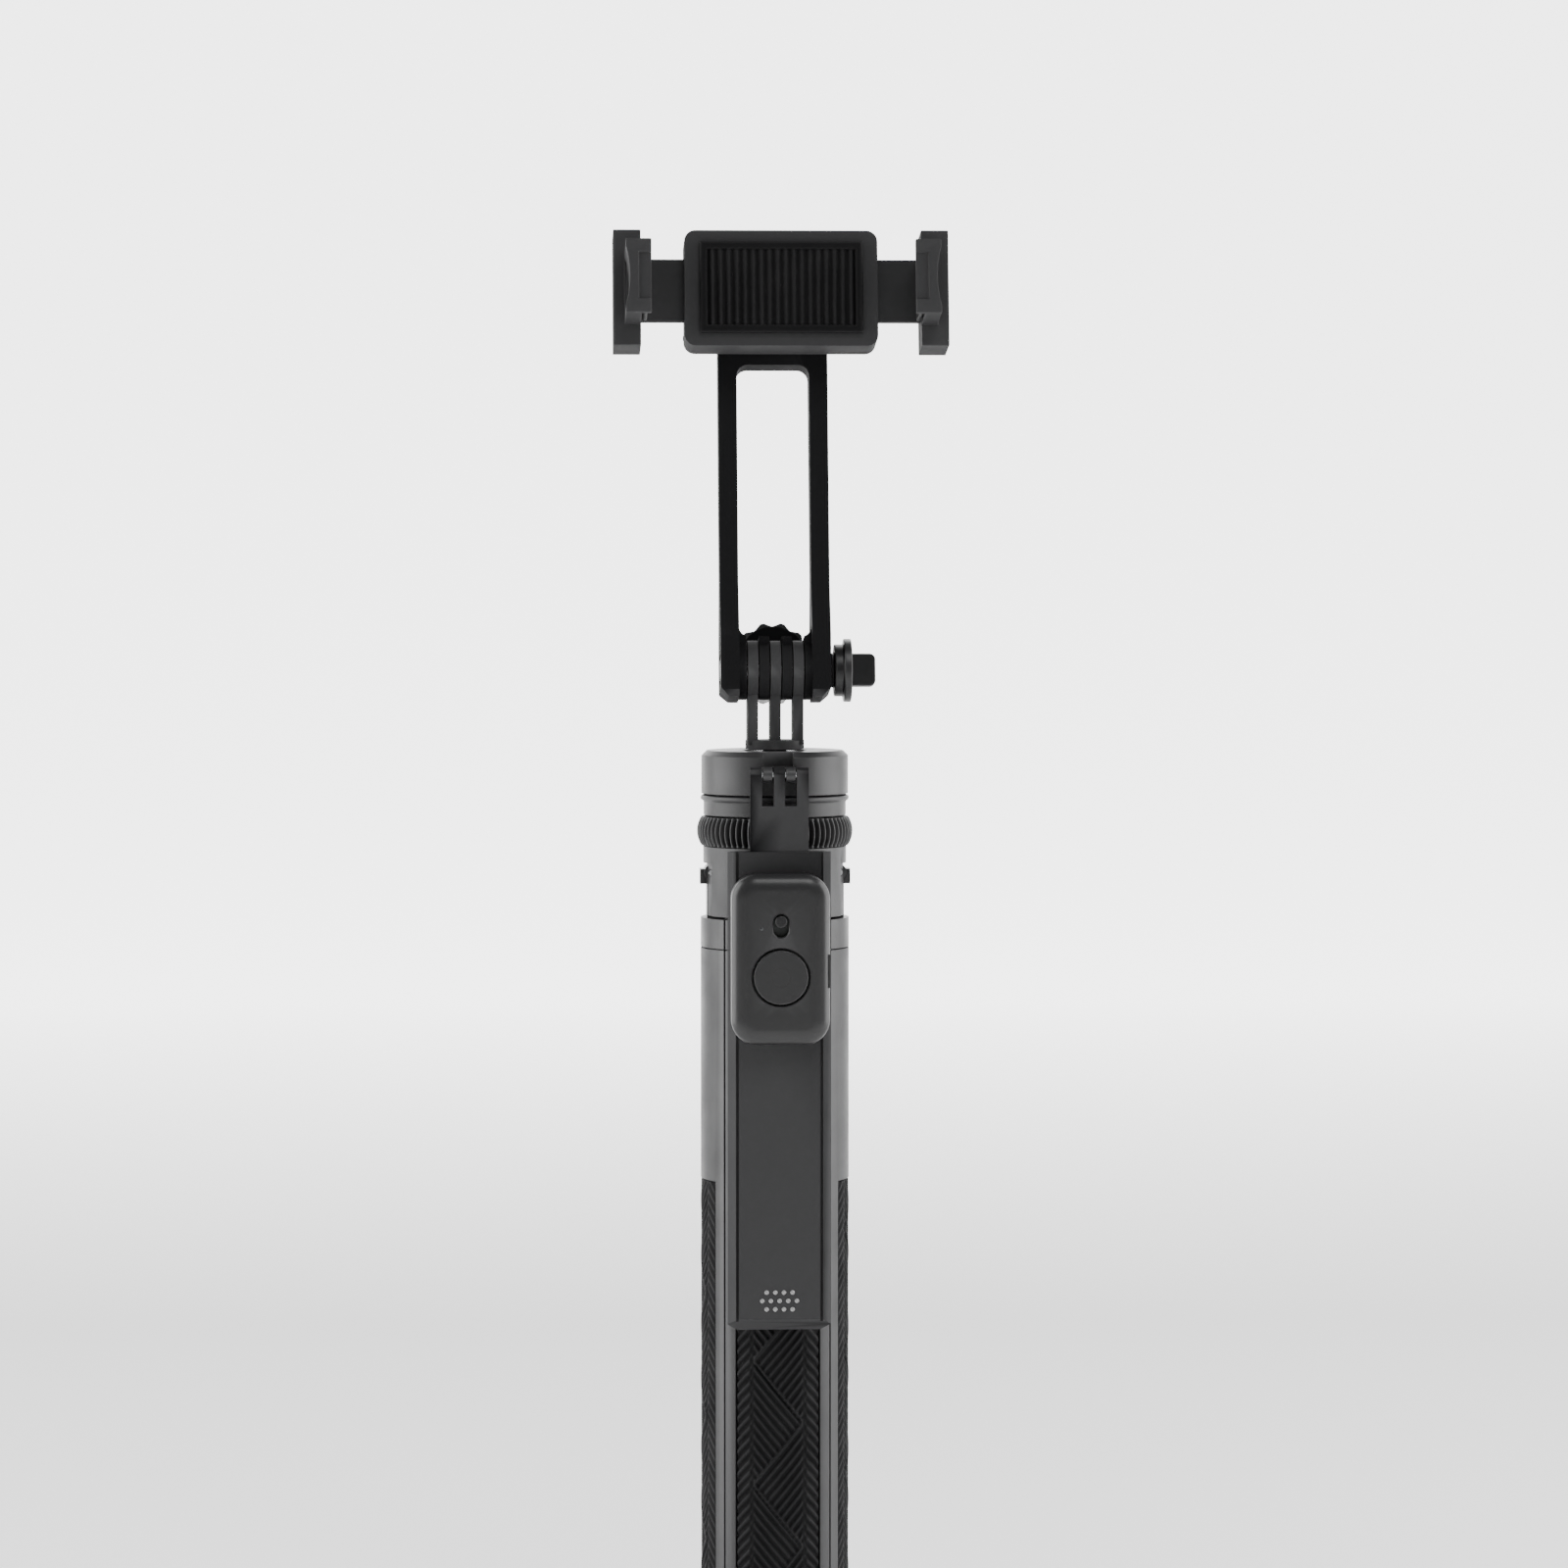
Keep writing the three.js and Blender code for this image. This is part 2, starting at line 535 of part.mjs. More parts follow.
// A jaw on the right of the phone: a deep base, a side wall with a hollowed outer face, and a
// lip with a shallow window that reaches over the phone's edge. Its flat tongue runs back into
// the clamp as far as tongueEnd, where two ears hold the springs.
function jaw(tongueEnd) {
  const x = CLAMP_OFFSET + PHONE_HALF;
  const outer = CLAMP_OFFSET + JAW_OUTER;
  const wall = joined(
    block(x + 1.5, x + 5.8, LIP_FRONT, CLAMP_FACE, -LIP_HALF_HEIGHT, LIP_HALF_HEIGHT),
    block(x - 1, x + 5.8, LIP_FRONT, LIP_BACK, -LIP_HALF_HEIGHT, LIP_HALF_HEIGHT),
  );
  const hollow = rodY(30, -FAR, CLAMP_FACE - 1.2, x + 34.7, 0, 64);
  const window = block(x - FAR, x + 2.4, LIP_FRONT - 1, LIP_FRONT + 0.6, -6.3, 6.3);
  const base = block(x + 1.5, outer, CLAMP_FACE - 0.6, -4.6, -JAW_HALF_HEIGHT, JAW_HALF_HEIGHT);
  const tongue = block(tongueEnd, x + 3, SLIDE_FRONT, SLIDE_BACK, -SLIDE_HALF, SLIDE_HALF);
  const ears = block(tongueEnd, tongueEnd + 2.5, SLIDE_FRONT, SLIDE_BACK, -EAR_HALF, EAR_HALF);
  return joined(less(wall, hollow, window), base, tongue, ears);
}

function jawPad() {
  const x = CLAMP_OFFSET + PHONE_HALF;
  return block(x, x + 1.2, LIP_BACK + GAP, CLAMP_FACE - 1, -LIP_HALF_HEIGHT + 0.6, LIP_HALF_HEIGHT - 0.6);
}

function mirroredAcrossGrip(body) {
  return body.translate([-CLAMP_OFFSET, 0, 0]).mirror([1, 0, 0]).translate([CLAMP_OFFSET, 0, 0]);
}

// A coil along X between the two tongues' ears.
function clampSpring(x0, x1, z) {
  const turns = 6;
  const points = [];
  for (let i = 0; i <= turns * 8; i += 1) {
    const angle = (i / 8) * 2 * Math.PI;
    const x = x0 + ((x1 - x0) * i) / (turns * 8);
    points.push(new THREE.Vector3(x, -12.6 + 1.2 * Math.cos(angle), z + 1.2 * Math.sin(angle)));
  }
  const path = new THREE.CatmullRomCurve3(points);
  const wire = new THREE.Shape().absarc(0, 0, 0.28, 0, 2 * Math.PI);
  const settings = { steps: turns * 7, bevelEnabled: false, extrudePath: path, curveSegments: 3 };
  return solid(new THREE.ExtrudeGeometry(wire, settings));
}

function swivel() {
  const bolt = joined(rodY(SWIVEL_R, -9.5, 10.6), rodY(5.5, -11, -8.9));
  const washer = less(rodY(10, -5.5, -4.3), rodY(SWIVEL_R + GAP, -FAR, FAR, 0, 0, 16));
  const cap = less(rodY(9.5, YOKE_HALF_DEPTH + GAP, 13), rodY(SWIVEL_R + GAP, 0, 11, 0, 0, 16));
  add(clampGroup, "swivel_bolt", bolt, steel);
  add(clampGroup, "swivel_washer", washer, blackPlastic);
  add(clampGroup, "swivel_cap", cap, blackPlastic);
}

function phoneClamp() {
  const fixedEnd = -18.9; // where the fixed jaw's ears face the moving jaw's
  const movingEnd = 0;
  const mirroredEnd = 2 * CLAMP_OFFSET - fixedEnd; // in the mirrored jaw's own frame
  const coilStart = fixedEnd + 0.6;
  add(clampGroup, "clamp_front", clampFront(), shellPlastic);
  add(clampGroup, "clamp_back", clampBack(), shellPlastic);
  const pad = block(
    CLAMP_OFFSET - 22, CLAMP_OFFSET + 22, PAD_FACE, CLAMP_FACE - GAP, -12.5, 12.5,
  );
  add(clampGroup, "clamp_pad", pad, softRubber);
  add(clampGroup, "fixed_jaw", mirroredAcrossGrip(jaw(mirroredEnd)), shellPlastic);
  add(clampGroup, "moving_jaw", jaw(movingEnd), shellPlastic);
  add(clampGroup, "fixed_jaw_pad", mirroredAcrossGrip(jawPad()), softRubber);
  add(clampGroup, "moving_jaw_pad", jawPad(), softRubber);
  add(clampGroup, "clamp_spring_upper", clampSpring(coilStart, movingEnd - 0.6, 10.8), springSteel);
  add(clampGroup, "clamp_spring_lower", clampSpring(coilStart, movingEnd - 0.6, -10.8), springSteel);
  const heads = screwRods(1.9, -5.5, -4.5, 16);
  screwRods(0.9, CLAMP_FACE + 4, -5).forEach((rod, i) => {
    add(clampGroup, `clamp_screw_${i ? "right" : "left"}`, joined(rod, heads[i]), steel);
  });
}

// ---------------------------------------------------------------- dock arm
function dockArm() {
  const section = outline([
    [-ARM_FACE_HALF, ARM_FRONT],
    [ARM_FACE_HALF, ARM_FRONT],
    [ARM_HALF, ARM_FRONT + 2.2],
    [ARM_HALF - 2.6, ARM_BACK],
    [2.6 - ARM_HALF, ARM_BACK],
    [-ARM_HALF, ARM_FRONT + 2.2],
  ]);
  const settings = { depth: ARM_SHOULDER - ARM_BOTTOM, bevelEnabled: false };
  const dock = solid(new THREE.ExtrudeGeometry(section, settings).translate(0, 0, ARM_BOTTOM));
  const slope = slab(outline([[-1, -1], [6.2, -1], [-1, 4.1]]), -FAR, FAR)
    .rotate([0, 0, 90])
    .translate([0, ARM_FRONT, ARM_BOTTOM]);
  const grooves = [-1, 1].map((side) =>
    block(side * 11.2 - 0.35, side * 11.2 + 0.35, -FAR, ARM_FRONT + 1, 0, FAR * 5),
  );
  const plate = block(-7.75, 7.75, ARM_FRONT + 0.5, -21.4, ARM_SHOULDER - 3, ARM_HINGE_Z);
  const knuckle = rodX(ARM_KNUCKLE_R, -7.75, 7.75, ARM_HINGE_Y, ARM_HINGE_Z, 20);
  const slots = [-FINGER_PITCH, FINGER_PITCH].map((x) =>
    block(x - 1.55, x + 1.55, -FAR, 0, ARM_SLOT_BOTTOM, FAR * 5),
  );
  const pinHole = rodX(1.0, -FAR, FAR, ARM_HINGE_Y, ARM_HINGE_Z, 16);
  return less(joined(less(dock, slope, ...grooves), less(joined(plate, knuckle), ...slots)), pinHole);
}

// ---------------------------------------------------------------- remote control
function remoteOutline(inset) {
  return roundedRectangle(
    REMOTE_HALF - inset, REMOTE_BOTTOM + inset, REMOTE_TOP - inset, REMOTE_CORNER - inset,
  );
}

function remoteBackShell() {
  const ribs = [-1, 1].map((side) =>
    block(side * 11.2 - 0.15, side * 11.2 + 0.15, REMOTE_BACK - 0.4, ARM_FRONT + 0.7, 190, 218),
  );
  const body = slab(remoteOutline(0), REMOTE_SPLIT, REMOTE_BACK);
  const inside = slab(remoteOutline(REMOTE_WALL), -FAR, REMOTE_BACK - 1.2);
  return joined(less(body, inside), ...ribs);
}

function remoteFrontShell() {
  const body = slab(remoteOutline(0), REMOTE_FRONT, REMOTE_SPLIT - GAP);
  const inside = slab(remoteOutline(REMOTE_WALL), REMOTE_FRONT + 1.4, 0);
  const button = rodY(BUTTON_R + 0.6, -FAR, 0, 0, BUTTON_Z, 24);
  const slot = slab(roundedRectangle(2.2, SWITCH_Z - 3.2, SWITCH_Z + 3.2, 2.1), -FAR, 0);
  const led = rodY(0.8, -FAR, 0, -5.2, SWITCH_Z - 0.7, 12);
  return less(body, inside, button, slot, led);
}

function remoteControl() {
  const centre = (REMOTE_BOTTOM + REMOTE_TOP) / 2;
  const board = slab(roundedRectangle(10.4, REMOTE_BOTTOM + 3, REMOTE_TOP - 3, 4), -30.5, -29.7);
  const button = joined(
    rodY(BUTTON_R, -33.9, -31.8, 0, BUTTON_Z, 24),
    rodY(2, -32, -31.2, 0, BUTTON_Z, 12),
  );
  const knobZ = SWITCH_Z + SWITCH_TRAVEL / 2;
  const knob = joined(rodY(1.6, -33.9, -32, 0, knobZ, 16), rodY(0.8, -32.2, -30.8, 0, knobZ, 12));
  add(stick, "remote_back_shell", remoteBackShell(), remotePlastic);
  add(stick, "remote_front_shell", remoteFrontShell(), remotePlastic);
  add(stick, "circuit_board", board, boardGreen);
  add(stick, "coin_cell", rodY(8, -29.3, -27.4, 0, centre - 6, 24), steel);
  add(stick, "shutter_button", button, remotePlastic);
  add(stick, "power_switch", knob, blackPlastic);
  add(stick, "led_lens", rodY(0.5, -33.7, -31, -5.2, SWITCH_Z - 0.7, 12), lensPlastic);
}

handleCore();
pole();
leg("front", -90);
leg("right", 0);
leg("back", 90);
leg("left", 180);
tiltHead();
swivel();
phoneClamp();
add(stick, "dock_arm", dockArm(), shellPlastic);
add(stick, "dock_hinge_pin", rodX(0.85, -7.6, 7.6, ARM_HINGE_Y, ARM_HINGE_Z, 16), steel);
remoteControl();
yokeGroup.add(clampGroup);
stick.add(yokeGroup);

export default stick;
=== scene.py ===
import json
import math

import bmesh
import bpy
from mathutils import Euler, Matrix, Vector


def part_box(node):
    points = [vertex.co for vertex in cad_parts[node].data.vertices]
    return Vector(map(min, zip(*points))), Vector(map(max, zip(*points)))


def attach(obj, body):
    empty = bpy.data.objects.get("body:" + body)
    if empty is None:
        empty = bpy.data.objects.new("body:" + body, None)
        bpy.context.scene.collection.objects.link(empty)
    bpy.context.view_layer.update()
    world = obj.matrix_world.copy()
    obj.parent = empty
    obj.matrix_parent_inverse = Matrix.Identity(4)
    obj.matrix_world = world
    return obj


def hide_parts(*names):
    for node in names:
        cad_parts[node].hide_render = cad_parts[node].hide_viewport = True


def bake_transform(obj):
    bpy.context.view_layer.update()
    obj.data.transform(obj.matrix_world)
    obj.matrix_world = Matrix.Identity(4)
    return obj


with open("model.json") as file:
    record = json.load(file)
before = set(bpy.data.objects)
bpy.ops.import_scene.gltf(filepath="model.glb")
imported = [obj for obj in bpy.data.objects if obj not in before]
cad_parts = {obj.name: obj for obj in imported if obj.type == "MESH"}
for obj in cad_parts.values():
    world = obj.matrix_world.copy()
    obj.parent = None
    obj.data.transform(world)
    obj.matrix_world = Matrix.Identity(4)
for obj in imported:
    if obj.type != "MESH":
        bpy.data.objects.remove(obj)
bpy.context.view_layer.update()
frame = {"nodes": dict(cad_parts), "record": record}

MM = 0.001
SIDES = {"right": 0, "back": 90, "left": 180, "front": 270}

# The handle
LEG_R = 20 * MM
GRIP_ROOT_R = 19.1 * MM
GRIP_HALF_ANGLE = math.radians(34)
PANEL_HALF_ANGLE = math.radians(20.5)  # the middle panel of the grip, with its herringbone
ZIGZAG = 33.4 * MM  # the height of one full zigzag of the herringbone
RIDGE_SLOPE = 1.2
RIDGE_PITCH = 3.0 * MM

# The yoke and the clamp lean back together about the tilt axis
TILT_Z = 279.3 * MM
LEAN = math.radians(-10)
SWIVEL_UP = 101.3 * MM

# The dock arm and the remote
ARM_FRONT = -25.5 * MM
BUTTON_Z = 199.1 * MM
SWITCH_Z = 212.7 * MM
BUTTON_FRONT = -33.9 * MM
REMOTE_CORNER = 6.5 * MM

# The camera
AIM = Vector((0.0025, 0, 0.2487))
DISTANCE = 1.4
VIEW_WIDTH = 0.4225  # how much of the scene the picture spans at the aim point
AZIMUTH = math.radians(-3)
ELEVATION = math.radians(2.5)


# ---------------------------------------------------------------- materials
class Shader:
    """A material with one Principled shader, and short calls to add nodes to it."""

    def __init__(self, name, color, roughness, metallic=0.0, specular=0.5):
        self.material = bpy.data.materials.new(name)
        self.material.use_nodes = True
        self.tree = self.material.node_tree
        self.shader = self.tree.nodes["Principled BSDF"]
        self.shader.inputs["Base Color"].default_value = (*color, 1)
        self.shader.inputs["Roughness"].default_value = roughness
        self.shader.inputs["Metallic"].default_value = metallic
        self.shader.inputs["Specular IOR Level"].default_value = specular
        self.place = self.node("ShaderNodeTexCoord").outputs["Object"]
        self.height = None

    def node(self, kind, **settings):
        node = self.tree.nodes.new(kind)
        for name, value in settings.items():
            setattr(node, name, value)
        return node

    def link(self, source, target):
        self.tree.links.new(source, target)

    def stretched(self, scale):
        mapping = self.node("ShaderNodeMapping")
        mapping.inputs["Scale"].default_value = scale
        self.link(self.place, mapping.inputs["Vector"])
        return mapping.outputs["Vector"]

    def noise(self, scale, detail=3.0, stretch=(1, 1, 1)):
        noise = self.node("ShaderNodeTexNoise")
        noise.inputs["Scale"].default_value = scale
        noise.inputs["Detail"].default_value = detail
        self.link(self.stretched(stretch), noise.inputs["Vector"])
        return noise.outputs["Fac"]

    def ranged(self, value, low, high, start=0.3, end=0.7):
        ranged = self.node("ShaderNodeMapRange")
        ranged.inputs["From Min"].default_value = start
        ranged.inputs["From Max"].default_value = end
        ranged.inputs["To Min"].default_value = low
        ranged.inputs["To Max"].default_value = high
        self.link(value, ranged.inputs["Value"])
        return ranged.outputs["Result"]

    def vary_roughness(self, value, low, high):
        self.link(self.ranged(value, low, high), self.shader.inputs["Roughness"])

    def vary_color(self, value, dark, light, start=0.3, end=0.7):
        ramp = self.node("ShaderNodeValToRGB")
        ramp.color_ramp.elements[0].position = start
        ramp.color_ramp.elements[0].color = (*dark, 1)
        ramp.color_ramp.elements[1].position = end
        ramp.color_ramp.elements[1].color = (*light, 1)
        self.link(value, ramp.inputs["Fac"])
        self.link(ramp.outputs["Color"], self.shader.inputs["Base Color"])

    def worn_edges(self, dark, light, start=0.53, end=0.62):
        edges = self.node("ShaderNodeNewGeometry").outputs["Pointiness"]
        self.vary_color(edges, dark, light, start, end)

    def bump(self, value, distance, strength=1.0):
        bump = self.node("ShaderNodeBump")
        bump.inputs["Distance"].default_value = distance
        bump.inputs["Strength"].default_value = strength
        self.link(value, bump.inputs["Height"])
        if self.height:
            self.link(self.height, bump.inputs["Normal"])
        self.height = bump.outputs["Normal"]
        self.link(self.height, self.shader.inputs["Normal"])


def moulded_plastic(name, color, light, roughness, specular=0.4, handled=True):
    """Spark-eroded plastic: a fine even grain, paler rubbed edges and, if handled, uneven gloss."""
    plastic = Shader(name, color, roughness, specular=specular)
    plastic.worn_edges(color, light)
    if handled:
        plastic.vary_roughness(plastic.noise(90, 5), roughness - 0.06, roughness + 0.08)
    plastic.bump(plastic.noise(2600, 2), 0.00005, 0.35)
    return plastic.material


def soft_rubber(name, color, light):
    rubber = Shader(name, color, 0.6, specular=0.13)
    rubber.worn_edges(color, light, 0.5, 0.66)
    rubber.vary_roughness(rubber.noise(160, 4), 0.5, 0.7)
    rubber.bump(rubber.noise(3400, 3), 0.00005, 0.5)
    return rubber.material


def drawn_metal(name, color, roughness):
    """Metal drawn along Z: long fine streaks in its gloss and surface."""
    metal = Shader(name, color, roughness, metallic=1.0)
    streaks = metal.noise(420, 4, stretch=(8, 8, 0.12))
    metal.vary_roughness(streaks, roughness - 0.08, roughness + 0.12)
    metal.bump(streaks, 0.00002, 0.3)
    return metal.material


def circuit_mask(name):
    board = Shader(name, (0.006, 0.012, 0.008), 0.4)
    board.vary_color(board.noise(600, 2), (0.004, 0.009, 0.006), (0.008, 0.016, 0.01))
    return board.material


def clear_lens(name):
    lens = Shader(name, (0.03, 0.032, 0.034), 0.15)
    lens.vary_roughness(lens.noise(900, 2), 0.1, 0.22)
    return lens.material


def studio_floor(name):
    """Pale paper that glows softly behind the object, as a lit backdrop does."""
    floor = Shader(name, (0.93, 0.93, 0.93), 0.9)
    floor.shader.inputs["Emission Color"].default_value = (1, 1, 1, 1)
    axes = floor.node("ShaderNodeSeparateXYZ")
    floor.link(floor.place, axes.inputs["Vector"])
    beside = floor.node("ShaderNodeMath", operation="ABSOLUTE")
    floor.link(axes.outputs["X"], beside.inputs[0])
    behind = floor.ranged(axes.outputs["Y"], 0.3, 3.2, 0.7, 2.2)
    near_middle = floor.ranged(beside.outputs["Value"], 1.0, 0.35, 1.1, 2.6)
    glow = floor.node("ShaderNodeMath", operation="MULTIPLY")
    floor.link(behind, glow.inputs[0])
    floor.link(near_middle, glow.inputs[1])
    floor.link(glow.outputs["Value"], floor.shader.inputs["Emission Strength"])
    return floor.material


MATERIALS = {
    "body_plastic": moulded_plastic("body_plastic", (0.012, 0.012, 0.0125), (0.06, 0.06, 0.062), 0.42),
    "dark_plastic": moulded_plastic("dark_plastic", (0.006, 0.006, 0.0065), (0.04, 0.04, 0.041), 0.34),
    "remote_plastic": moulded_plastic(
        "remote_plastic", (0.016, 0.016, 0.0165), (0.07, 0.07, 0.072), 0.31, handled=False
    ),
    "grip_rubber": soft_rubber("grip_rubber", (0.003, 0.003, 0.0033), (0.03, 0.03, 0.031)),
    "tube_aluminium": drawn_metal("tube_aluminium", (0.06, 0.06, 0.064), 0.32),
    "pole_steel": drawn_metal("pole_steel", (0.62, 0.63, 0.64), 0.24),
    "steel": drawn_metal("steel", (0.56, 0.57, 0.58), 0.28),
    "spring_steel": drawn_metal("spring_steel", (0.4, 0.41, 0.42), 0.34),
    "board": circuit_mask("board"),
    "lens": clear_lens("lens"),
}
YOKE_PLASTIC = moulded_plastic(
    "yoke_plastic", (0.009, 0.009, 0.0095), (0.04, 0.04, 0.041), 0.6, specular=0.03
)
JAW_PLASTIC = moulded_plastic(
    "jaw_plastic", (0.038, 0.038, 0.039), (0.06, 0.06, 0.061), 0.6, specular=0.02
)
# Pale grey for the arm's raised dots: painted highlight standing in for the glints on them.
PAINTED_GLINT_GREY = moulded_plastic("painted_glint_grey", (0.16, 0.16, 0.16), (0.3, 0.3, 0.3), 0.3)
# Near-black: printed for the button's ring, and painted shade for the screw recesses and the remote's
# side slot.
DARK_PRINT_AND_PAINTED_SHADE = moulded_plastic("dark_print_and_painted_shade", (0.004, 0.004, 0.004), (0.02, 0.02, 0.02), 0.6)
ARM_FACE = moulded_plastic(
    "arm_face", (0.003, 0.003, 0.0035), (0.04, 0.04, 0.041), 0.5, specular=0.08
)


# ---------------------------------------------------------------- meshes
def new_object(name, mesh_maker, material, smooth_angle=35):
    """An object from a bmesh, shaded smooth up to smooth_angle degrees."""
    mesh = bpy.data.meshes.new(name)
    mesh_maker.normal_update()
    mesh_maker.to_mesh(mesh)
    mesh_maker.free()
    obj = bpy.data.objects.new(name, mesh)
    bpy.context.scene.collection.objects.link(obj)
    mesh.materials.append(material)
    mesh.shade_smooth()
    mesh.set_sharp_from_angle(angle=math.radians(smooth_angle))
    return obj


def add_bevel(obj, width, segments=2, angle=35):
    bevel = obj.modifiers.new("softened", "BEVEL")
    bevel.width = width
    bevel.segments = segments
    bevel.limit_method = "ANGLE"
    bevel.angle_limit = math.radians(angle)
    bevel.use_clamp_overlap = True
    bevel.harden_normals = False
    weighted = obj.modifiers.new("even", "WEIGHTED_NORMAL")
    weighted.keep_sharp = False
    weighted.weight = 80


def cleaned(node):
    """A CAD node's surface as a bmesh, with its flat faces whole again."""
    shape = bmesh.new()
    shape.from_mesh(frame["nodes"][node].data)
    bmesh.ops.remove_doubles(shape, verts=shape.verts, dist=2e-6)
    bmesh.ops.dissolve_limit(
        shape,
        angle_limit=math.radians(0.6),
        verts=shape.verts,
        edges=shape.edges,
        use_dissolve_boundaries=False,
    )
    return shape


NODE_BODY = {
    node: body
    for body, nodes in frame["record"]["behaviour"]["bodies"].items()
    for node in nodes
}
NODE_SLOT = {part["node"]: part["material_slot"] for part in frame["record"]["subparts"]}


def stands_for(obj, node):
    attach(obj, NODE_BODY[node])
    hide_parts(node)


def softened(node, width, material=None, segments=2, angle=35):
    """Stands for a CAD node with its edges rounded by width millimetres."""
    obj = new_object(f"{node}_look", cleaned(node), material or MATERIALS[NODE_SLOT[node]])
    add_bevel(obj, width * MM, segments, angle)
    stands_for(obj, node)
    return obj


def trim(obj, beside):
    """A fine detail that rides with a CAD node's body and has no CAD node of its own."""
    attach(obj, NODE_BODY[beside])


def yoke_place(point):
    """From the yoke's upright frame, in millimetres about the tilt axis, to the scene."""
    placed = Euler((LEAN, 0, 0)).to_matrix() @ (Vector(point) * MM)
    return placed + Vector((0, 0, TILT_Z))


def clamp_place(point):
    x, y, z = point
    return yoke_place((x, y, z + SWIVEL_UP / MM))


def upright_place(point):
    """From millimetres in the scene's own frame to metres."""
    return Vector(point) * MM


def lathe_y(profile, segments=48, place=upright_place, centre=(0, 0)):
    """A closed solid of revolution about Y. Each profile point is [radius, y] in millimetres."""
    shape = bmesh.new()
    rings = []
    for radius, y in profile:
        count = segments if radius else 1
        ring = []
        for i in range(count):
            angle = 2 * math.pi * i / count
            x = centre[0] + radius * math.cos(angle)
            z = centre[1] + radius * math.sin(angle)
            ring.append(shape.verts.new(place((x, y, z))))
        rings.append(ring)
    for one, two in zip(rings, rings[1:]):
        for i in range(segments):
            j = (i + 1) % segments
            corners = [one[i % len(one)], one[j % len(one)], two[j % len(two)], two[i % len(two)]]
            shape.faces.new(list(dict.fromkeys(corners)))
    bmesh.ops.recalc_face_normals(shape, faces=shape.faces)
    return shape


def box_between(low, high, place=upright_place):
    shape = bmesh.new()
    corners = [
        shape.verts.new(place((x, y, z)))
        for z in (low[2], high[2])
        for y in (low[1], high[1])
        for x in (low[0], high[0])
    ]
    for face in ((0, 1, 3, 2), (4, 5, 7, 6), (0, 1, 5, 4), (2, 3, 7, 6), (0, 2, 6, 4), (1, 3, 7, 5)):
        shape.faces.new([corners[i] for i in face])
    bmesh.ops.recalc_face_normals(shape, faces=shape.faces)
    return shape


# ---------------------------------------------------------------- handle
def ridge(phase):
    """The height, from 0 to 1, of a round-topped ridge at a phase counted in ridges."""
    along = phase % 1
    return max(0.0, math.sin(math.pi * min(along / 0.72, 1)))


def grip_height(across, up):
    """Moulded pattern height, from 0 to 1: a herringbone in the middle, slanted ribs beside it."""
    panel = LEG_R * PANEL_HALF_ANGLE
    if abs(across) > panel + 0.5 * MM:
        return 0.95 * ridge((up + abs(across)) / RIDGE_PITCH)
    if abs(across) > panel - 0.4 * MM:
        return 0.35
    reach = panel - 0.4 * MM
    turn = (up / ZIGZAG) % 1
    boundary = reach * (4 * abs(turn - 0.5) - 1)
    falling = across < boundary
    slope = RIDGE_SLOPE if falling else -RIDGE_SLOPE
    rib = ridge((up + slope * across) / RIDGE_PITCH)
    on_boundary = abs(across - boundary) < 0.55 * MM
    return 1.0 if on_boundary else 0.85 * rib


def grip(side, angle):
    """A leg's rubber grip: a curved panel whose outside carries the moulded pattern."""
    node = f"{side}_leg_grip"
    low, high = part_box(node)
    columns, rows = 72, 440
    turn = math.radians(angle)
    shape = bmesh.new()
    grid = []
    for i in range(rows + 1):
        z = low[2] + (high[2] - low[2]) * i / rows
        line = []
        for j in range(columns + 1):
            part = -GRIP_HALF_ANGLE + 2 * GRIP_HALF_ANGLE * j / columns
            edge = min(i, rows - i, j, columns - j)
            height = grip_height(LEG_R * part, z - low[2]) if edge > 0 else 0
            radius = GRIP_ROOT_R + 0.2 * MM + 0.68 * MM * height
            x = radius * math.cos(turn + part)
            y = radius * math.sin(turn + part)
            line.append(shape.verts.new((x, y, z)))
        grid.append(line)
    for one, two in zip(grid, grid[1:]):
        for j in range(columns):
            shape.faces.new([one[j], one[j + 1], two[j + 1], two[j]])
    rim = [edge for edge in shape.edges if edge.is_boundary]
    walls = bmesh.ops.extrude_edge_only(shape, edges=rim)["geom"]
    inner = [item for item in walls if isinstance(item, bmesh.types.BMVert)]
    for vert in inner:
        reach = math.hypot(vert.co.x, vert.co.y)
        vert.co.x *= GRIP_ROOT_R / reach
        vert.co.y *= GRIP_ROOT_R / reach
    bmesh.ops.recalc_face_normals(shape, faces=shape.faces)
    obj = new_object(f"{node}_look", shape, MATERIALS["grip_rubber"], 80)
    stands_for(obj, node)


def legs():
    for side, angle in SIDES.items():
        softened(f"{side}_leg_shell", 0.45, angle=50)
        softened(f"{side}_leg_foot", 0.7, angle=50)
        softened(f"{side}_leg_bracket", 0.35, angle=50)
        grip(side, angle)


